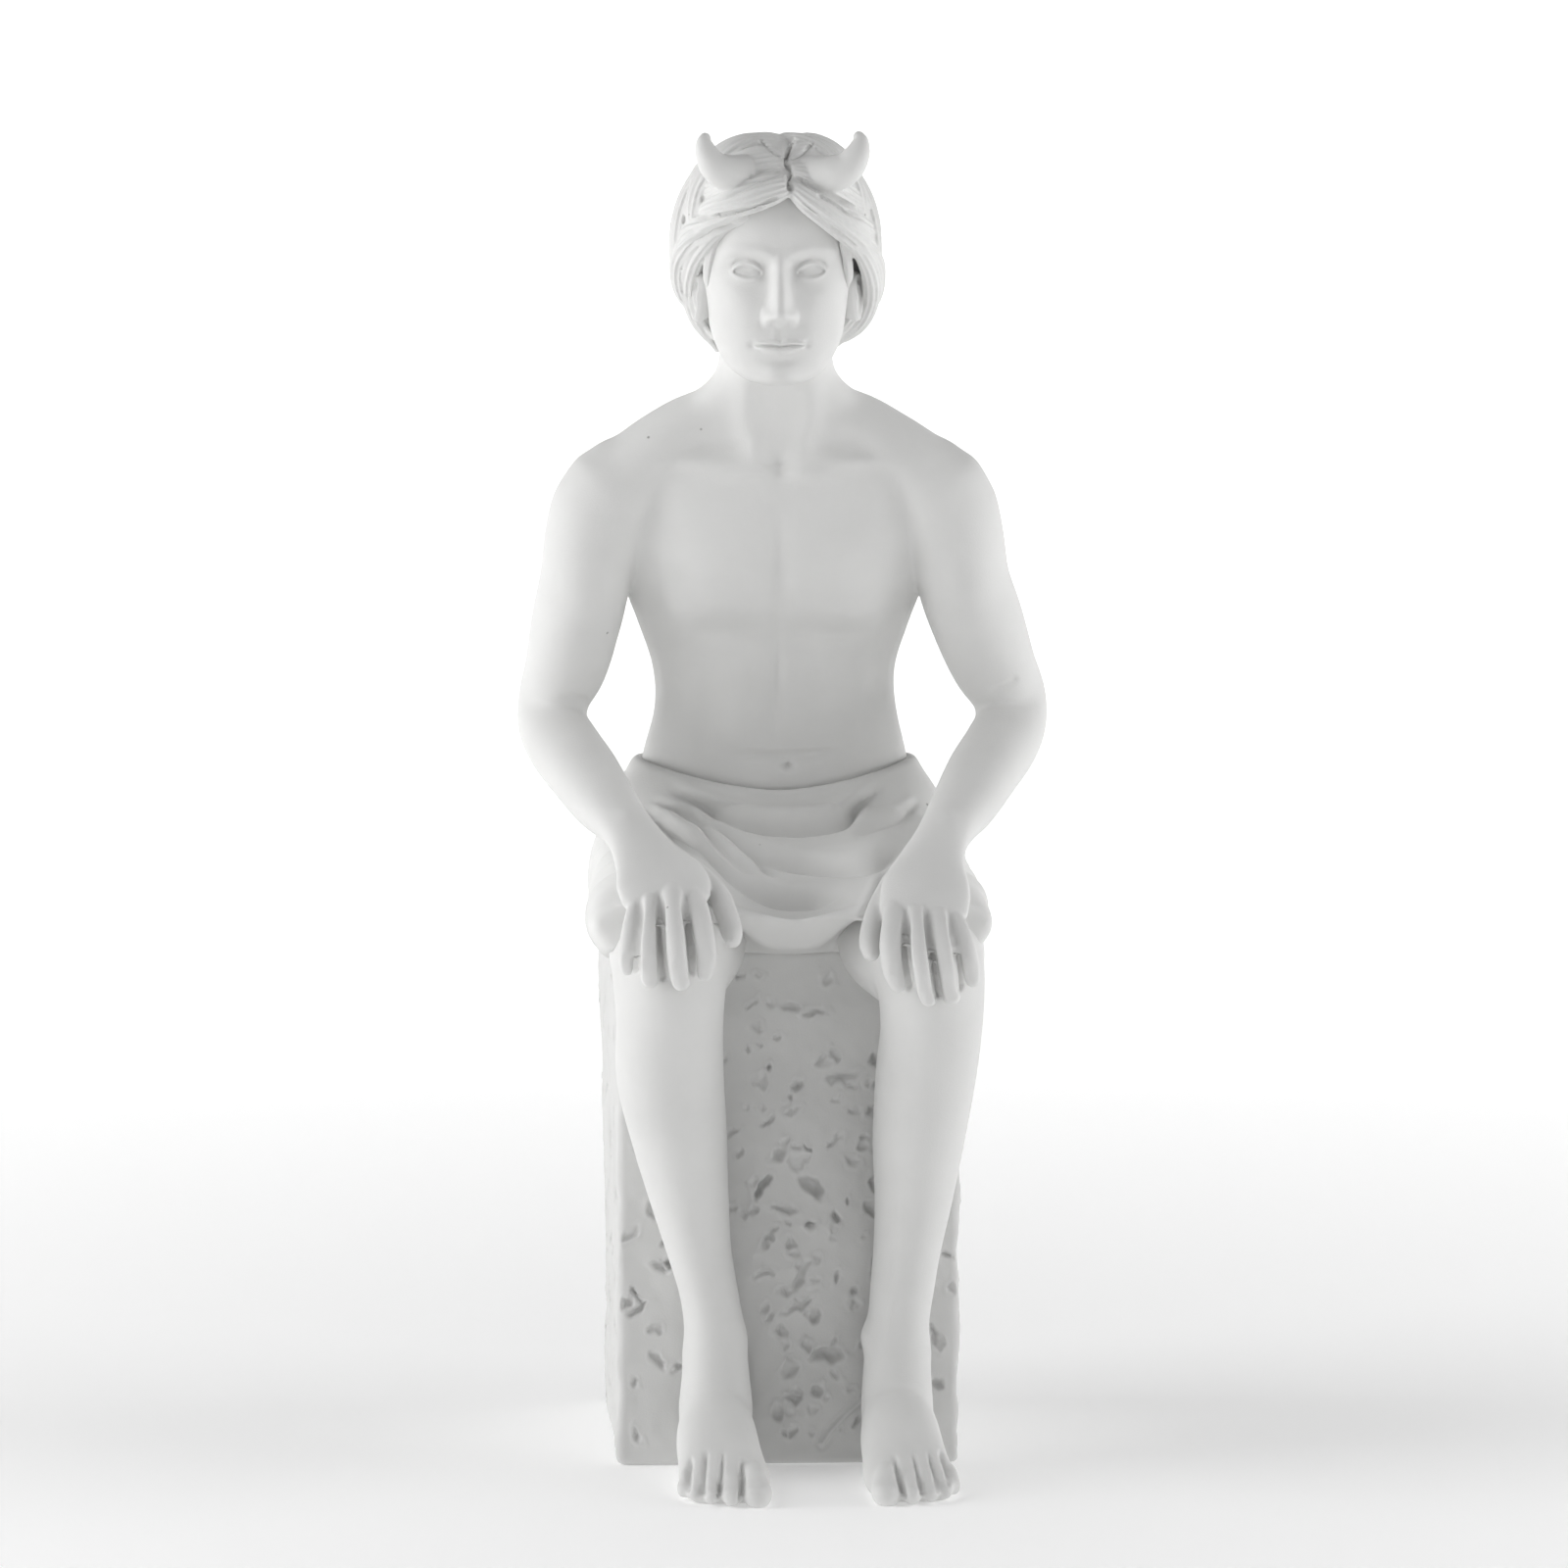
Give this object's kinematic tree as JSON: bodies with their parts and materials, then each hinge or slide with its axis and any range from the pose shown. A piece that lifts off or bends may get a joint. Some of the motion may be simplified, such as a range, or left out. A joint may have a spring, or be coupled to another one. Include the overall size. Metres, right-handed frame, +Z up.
{
  "type": "zodiac figurine",
  "caption": "White matt cast figurine of a seated bare-chested youth with bull's horns and a cloth over his lap, on a tall rough stone block.",
  "frame": {"origin": "middle of the block's flat underside, on the surface the figurine stands on", "axes": "+Z up along the figure, -Y the way the figure faces, +X towards the figure's left hand"},
  "size_m": [0.1218, 0.1465, 0.3001],
  "materials": {
    "bisque": "matt unglazed white bisque"
  },
  "bodies": {
    "root": {"figurine": "bisque"}
  },
  "joints": []
}
